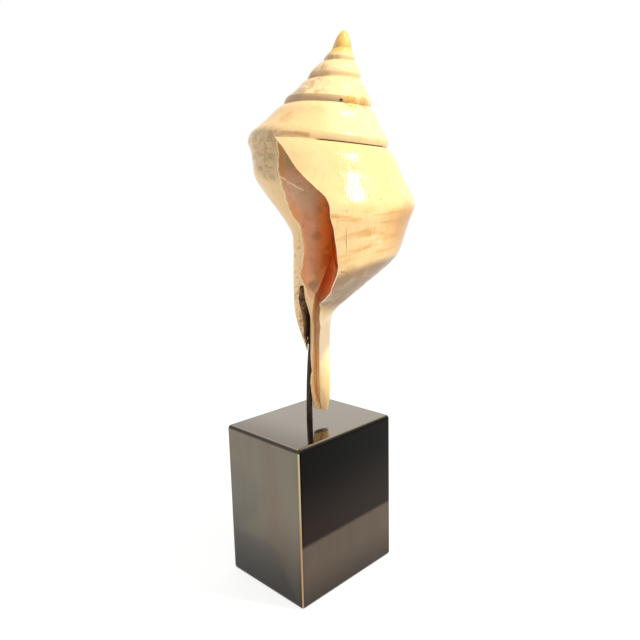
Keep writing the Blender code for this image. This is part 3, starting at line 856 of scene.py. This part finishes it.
def spire_colour(tree, at, colour):
    """Brown mottling on the left of the middle whorls, and a tan band of painted shade under each keel,
    where the wall faces down.
    """
    mottled = times(tree, at.spire, cloud(tree, at.where, 6.0, 0.45, 0.62))
    colour = paint(tree, colour, times(tree, mottled, rise(tree, at.right, 30.0, 14.0), 0.7), "8E6A4A")
    # Painted shade on the band between each earlier keel and its suture, stronger about two turns back.
    band = times(tree, window(tree, at.across, 1.005, 1.12, 0.006), rise(tree, at.turn, -0.98, -1.02))
    colour = paint(tree, colour, times(tree, band, 0.35), "BC9468")
    second = times(tree, band, window(tree, at.turn, -2.04, -1.7, 0.02))
    return paint(tree, colour, times(tree, second, 0.8), "A88A6A")


def shoulder_colour(tree, at, colour):
    """Grey-green marks of old growth on the shoulder behind the mouth."""
    shoulder = times(
        tree,
        spot(tree, at.where, (6.0, -50.0, 404.0), 24.0, 7.0),
        window(tree, at.across, 0.9, 1.9, 0.1),
        at.last_turn,
    )
    colour = paint(tree, colour, times(tree, shoulder, 0.55), "9C8A6A")
    mottle = cloud(tree, at.where, 5.0, 0.45, 0.62, 5.0)
    colour = paint(tree, colour, times(tree, shoulder, mottle, 0.55), "86704E")
    # Pale specks 2 mm apart.
    speck = rise(tree, add(tree, "TexVoronoi", at.where, 0.55, feature="F1"), 0.42, 0.2)
    speck = times(tree, speck, shoulder, cloud(tree, at.where, 9.0, 0.42, 0.6))
    return paint(tree, colour, times(tree, speck, 0.6), "D0C8AA")


def stain_colour(tree, at, colour):
    """The fasciole's brown lamellae, the stain beside the umbilicus, and sparse brown specks."""
    lamellae = times(tree, at.fasciole, rise(tree, at.lamellae, 0.5, 0.7), 0.6)
    colour = paint(tree, colour, lamellae, "9A7650")
    beside = times(tree, window(tree, at.height, 234.0, 284.0, 5.0), rise(tree, at.right, -11.0, -5.0))
    stained = cloud(tree, at.where, 3.5, 0.4, 0.62, 5.0)
    colour = paint(tree, colour, times(tree, beside, at.earlier, stained, 0.8), "8E6238")
    # The specks lie about 14 mm apart.
    pits = rise(tree, add(tree, "TexVoronoi", at.where, 0.07, feature="F1"), 0.06, 0.03)
    return paint(tree, colour, times(tree, pits, 0.7), "6E5238")


def broken_colour(tree, at, colour):
    """The dark crack in the last sutures, thin checks and hairlines, and the lip's broken edge."""
    colour = paint(tree, colour, at.crack, "3A2C18")
    colour = paint_streaks(tree, colour, at.where, OUTSIDE_STREAKS)
    rim = times(
        tree,
        rise(tree, at.turn, 0.3, 0.4),
        rise(tree, at.across, 0.04, 0.1),
        rise(tree, at.across, 2.6, 2.3),
    )
    return paint(tree, colour, rim, "F4D8B8")


def glaze_edge(tree, where, height):
    """How far right the glaze's ragged edge lies at each height."""
    share = add(tree, "MapRange", height, GLAZE_LOW, GLAZE_HIGH, 0.0, 1.0)
    edge = add(tree, "FloatCurve", 1.0, share)
    mapping = edge.node.mapping
    points = mapping.curves[0].points
    points[0].location, points[-1].location = GLAZE_EDGE[0], GLAZE_EDGE[-1]
    for at, reach in GLAZE_EDGE[1:-1]:
        points.new(at, reach)
    mapping.update()
    edge = add(tree, "MapRange", edge, 0.0, 1.0, -GLAZE_REACH, GLAZE_REACH)
    ragged = add(tree, "TexNoise", where, 0.12, 2.0, 0.5)
    return add(tree, "Math", edge, add(tree, "MapRange", ragged, 0.0, 1.0, -2.0, 2.0))


def glazed_colour(tree, at, colour):
    """The glaze that the mouth lays over the whorl before it, and the pale seam it ends in."""
    edge = glaze_edge(tree, at.where, at.height)
    beyond = add(tree, "Math", at.right, edge, operation="SUBTRACT")
    left_of_canal = rise(tree, at.right, 14.0, 10.0)
    early = add(tree, "Math", rise(tree, at.turn, -0.29, -0.31), left_of_canal, operation="MAXIMUM")
    on_whorl = times(
        tree,
        early,
        rise(tree, at.front, 3.0, 5.0),
        rise(tree, at.height, 268.0, 276.0),
        rise(tree, at.across, 1.12, 1.14),
    )
    seam = times(tree, window(tree, beyond, -1.3, -0.6, 0.35), on_whorl, 0.6)
    colour = paint(tree, colour, seam, "EAD8B4")
    glazed = times(tree, rise(tree, beyond, -0.6, 0.8), on_whorl)
    return paint(tree, colour, glazed, glaze_glow_and_shade_colour(tree, at.where, at.right, at.front, at.height))


def outside_relief(tree, at):
    """Growth lines, threads, pits, lamellae and cracks."""
    relief = add(tree, "Math", times(tree, at.lines, 0.6), times(tree, at.drawn, 0.8))
    relief = add(tree, "Math", relief, times(tree, at.threads, at.spire, 0.8))
    pits = add(tree, "TexNoise", at.where, 0.16, 4.0, 0.6)
    relief = add(tree, "Math", relief, times(tree, pits, 1.2))
    relief = add(tree, "Math", relief, times(tree, at.lamellae, at.fasciole, 3.0))
    return add(tree, "Math", relief, at.crack, operation="SUBTRACT")


def outside_material():
    """Cream shell worn smooth: a soft, uneven gloss; strong light bleaches it, shade turns it tan. Its
    colour also holds some painted shade and painted light.
    """
    material, tree, shader = new_material("worn cream shell", 0.16)
    at = outside_marks(tree)
    colour = ground_colour(tree, at)
    colour = growth_colour(tree, at, colour)
    colour = spire_colour(tree, at, colour)
    colour = paint_spots(tree, colour, at.where, OUTSIDE_SPOTS)
    colour = shoulder_colour(tree, at, colour)
    colour = stain_colour(tree, at, colour)
    colour = broken_colour(tree, at, colour)
    colour = glazed_colour(tree, at, colour)
    tree.links.new(colour, shader.inputs["Base Color"])
    roughen(tree, shader, outside_relief(tree, at), 0.25)
    # Handling has dulled it, so it reflects less than polished shell.
    shader.inputs["Specular IOR Level"].default_value = 0.13
    gloss = add(tree, "TexNoise", at.where, 0.14, 3.0, 0.6)
    gloss = add(tree, "MapRange", gloss, 0.4, 0.62, 0.08, 0.3)
    tree.links.new(gloss, shader.inputs["Roughness"])
    return material


def inside_material():
    """Smooth glaze of the mouth: glossier and much warmer than the outside."""
    material, tree, shader = new_material("apricot glaze with painted glow and shade", 0.22)
    let_light_through(shader, 0.7)
    where, right, front, height = millimetres(tree)
    turn, across = growth(tree)
    tree.links.new(glaze_glow_and_shade_colour(tree, where, right, front, height), shader.inputs["Base Color"])
    relief = growth_noise(tree, turn, across, 60.0, 6.0, 3.0)
    relief = add(tree, "Math", relief, add(tree, "TexNoise", where, 0.1, 3.0, 0.5))
    roughen(tree, shader, relief, 0.35)
    return material


def channel_material():
    """The canal's lining: orange tan, glazed, with a darker line along its middle, painted shade in the
    narrow groove.
    """
    material, tree, shader = new_material("orange tan canal glaze with painted shade and glow", 0.3)
    let_light_through(shader, 0.35)
    where, right, front, height = millimetres(tree)
    colour = glaze_glow_and_shade_colour(tree, where, right, front, height)
    colour = paint(tree, colour, times(tree, cloud(tree, where, 12.0, 0.45, 0.7), 0.3), "C8864A")
    # Painted shade: the middle of the groove is darkened below about 250 to 262 mm.
    line = times(tree, window(tree, right, 7.2, 8.2, 0.7), rise(tree, height, 262.0, 250.0), 0.5)
    colour = paint(tree, colour, line, "B47C48")
    tree.links.new(colour, shader.inputs["Base Color"])
    roughen(tree, shader, add(tree, "TexNoise", where, 0.2, 3.0, 0.5), 0.3)
    return material


def mottled_material(made, colour, patches, over, bumps, strength):
    """Soft patches of a second colour, and bumps: (scale, detail, roughness)."""
    material, tree, shader = made
    where = millimetres(tree)[0]
    colour = paint(tree, linear(colour), cloud(tree, where, *patches), over)
    tree.links.new(colour, shader.inputs["Base Color"])
    roughen(tree, shader, add(tree, "TexNoise", where, *bumps), strength)
    return material


def cleft_material():
    """The umbilicus: rough, brown, with old dirt in it."""
    made = new_material("stained umbilicus", 0.8)
    return mottled_material(made, "B08A64", (4.0, 0.42, 0.62), "5E4842", (0.4, 4.0, 0.6), 0.8)


def steel_material():
    """Blackened steel: nearly black with a brown cast and a soft sheen."""
    made = new_material("blackened steel", 0.38, 1.0)
    return mottled_material(made, "3E3332", (9.0, 0.45, 0.65), "4C403A", (0.5, 3.0, 0.6), 0.2)


def putty_material():
    """Black epoxy putty with a purple-brown cast, pressed in by hand: dull, with soft lumps."""
    made = new_material("black epoxy putty", 0.55)
    return mottled_material(made, "3A3034", (3.0, 0.42, 0.62), "6A5448", (0.5, 3.0, 0.6), 1.0)


def narrow_face_colour(tree, height, streaks):
    """Greenish grey with soft brown streaks, darker downwards; lighter than the wide faces as a painted
    reflection.
    """
    colour = paint(tree, linear("726D63"), rise(tree, streaks, 0.38, 0.8), "72645A")
    return paint(tree, colour, times(tree, rise(tree, height, 96.0, -4.0), 0.95), "343332")


def wide_face_colour(tree, height, streaks):
    """Nearly black, and brown below a level line: a painted reflection of dark surroundings."""
    brown = paint(tree, linear("5F534B"), rise(tree, height, 42.0, -8.0), "383230")
    brown = paint(tree, brown, times(tree, rise(tree, streaks, 0.4, 0.7), 0.35), "544A46")
    black = paint(tree, linear("121213"), rise(tree, height, 132.0, 66.0), "2A2221")
    return paint(tree, brown, rise(tree, height, 58.0, 63.0), black)


def patina_and_reflection_material():
    """Polished dark bronze with a mirror-like darkened surface, worn to brass at the edges; its colour,
    unlike on each face, is a painted reflection.
    """
    material, tree, shader = new_material("dark bronze patina", 0.09, 1.0)
    where, _, _, height = millimetres(tree)
    facing = add(tree, "TexCoord", out=1)
    to_x = add(tree, "Math", add(tree, "SeparateXYZ", facing), operation="ABSOLUTE")
    to_z = add(tree, "SeparateXYZ", facing, out=2)
    # Streaks about 25 mm wide and 110 mm high.
    streaks = add(tree, "VectorMath", where, (0.04, 0.04, 0.009), operation="MULTIPLY")
    streaks = add(tree, "TexNoise", streaks, 1.0, 2.0, 0.5)
    narrow = narrow_face_colour(tree, height, streaks)
    wide = wide_face_colour(tree, height, streaks)
    # Painted reflection: each face's tone is picked by the way it faces.
    colour = paint(tree, narrow, rise(tree, to_x, 0.6, 0.8), wide)
    # The top is the palest, as a painted reflection of the bright room, and darker towards one narrow
    # edge.
    along_top = add(tree, "SeparateXYZ", where, out=1)
    top = paint(tree, linear("998F81"), rise(tree, along_top, -10.0, -76.0), "6E675E")
    colour = paint(tree, colour, rise(tree, to_z, 0.6, 0.8), top)
    # Along the rounding, level edges are dark with a painted highlight, a pale line next to the top;
    # upright ones are brass.
    colour = paint(tree, colour, times(tree, window(tree, to_z, 0.3, 0.86, 0.08), 0.75), "2C2622")
    colour = paint(tree, colour, times(tree, window(tree, to_z, 0.92, 0.985, 0.02), 0.8), "B8A890")
    brass = paint(tree, linear("B4926A"), rise(tree, height, 60.0, 110.0), "C0AC8C")
    upright = times(tree, window(tree, to_x, 0.62, 0.8, 0.04), rise(tree, to_z, 0.3, 0.1))
    colour = paint(tree, colour, upright, brass)
    tree.links.new(colour, shader.inputs["Base Color"])
    roughen(tree, shader, add(tree, "TexNoise", where, 0.05, 2.0, 0.5), 0.08)
    return material


outside = outside_material()
shell = mesh_object("shell_skin", build_outside, outside)
carve(
    shell,
    (
        (build_umbilicus, "DIFFERENCE", cleft_material()),
        (build_canal_wall, "UNION", outside),
        (build_channel, "DIFFERENCE", channel_material()),
        (build_hollow, "DIFFERENCE", inside_material()),
    ),
)
round_tip(shell.data)
shell.data.set_sharp_from_angle(angle=radians(SHARP_ANGLE))
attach(shell, "root")
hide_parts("shell")

# Dark bronze whose colour holds painted reflections.
patina = patina_and_reflection_material()
block = mesh_object("block_skin", build_block, patina)
carve(block, ((build_socket, "DIFFERENCE", patina),))
# Flat faces mirror straight, and the rounding has steps enough to look round.
block.data.shade_flat()
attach(block, "root")
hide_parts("block")

for node, made in (("rod", steel_material), ("adhesive", putty_material)):
    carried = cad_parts[node]
    carried.data.materials.clear()
    carried.data.materials.append(made())


def make_floor():
    """A pale table lit a little from below, so that it meets the white room without a line."""
    bm = bmesh.new()
    bmesh.ops.create_grid(bm, x_segments=1, y_segments=1, size=6.0)
    mesh = bpy.data.meshes.new("floor")
    bm.to_mesh(mesh)
    bm.free()
    material, _, shader = new_material("white acrylic table", 0.9)
    shader.inputs["Base Color"].default_value = linear("7E7E7C")
    shader.inputs["Emission Color"].default_value = linear("FFFFFF")
    shader.inputs["Emission Strength"].default_value = 0.8
    mesh.materials.append(material)
    floor = bpy.data.objects.new("floor", mesh)
    bpy.context.scene.collection.objects.link(floor)


def make_light():
    """A white room and one warm, soft light from the right, above."""
    world = bpy.data.worlds.new("studio")
    world.use_nodes = True
    background = world.node_tree.nodes["Background"]
    background.inputs["Color"].default_value = linear("FFFFFF")
    background.inputs["Strength"].default_value = 1.0
    bpy.context.scene.world = world
    key = bpy.data.lights.new("key", "AREA")
    key.shape = "DISK"
    key.size = 0.1
    key.energy = 44.0
    key.color = (1.0, 0.93, 0.56)
    lamp = bpy.data.objects.new("key", key)
    lamp.location = (0.98, 0.45, 1.65)
    aim = Vector((0.05, 0.0, 0.36)) - lamp.location
    lamp.rotation_euler = aim.to_track_quat("-Z", "Y").to_euler()
    bpy.context.scene.collection.objects.link(lamp)
    bpy.context.scene.view_settings.view_transform = "Standard"


def make_camera():
    """Faces the mouth and looks down a little."""
    lens = bpy.data.cameras.new("camera")
    lens.lens = 34.02
    lens.sensor_width = 36.0
    camera = bpy.data.objects.new("camera", lens)
    camera.location = (0.4106, -0.3949, 0.355)
    camera.rotation_euler = (radians(79.7153), radians(1.3212), radians(44.6199))
    bpy.context.scene.collection.objects.link(camera)
    bpy.context.scene.camera = camera


make_floor()
make_light()
make_camera()
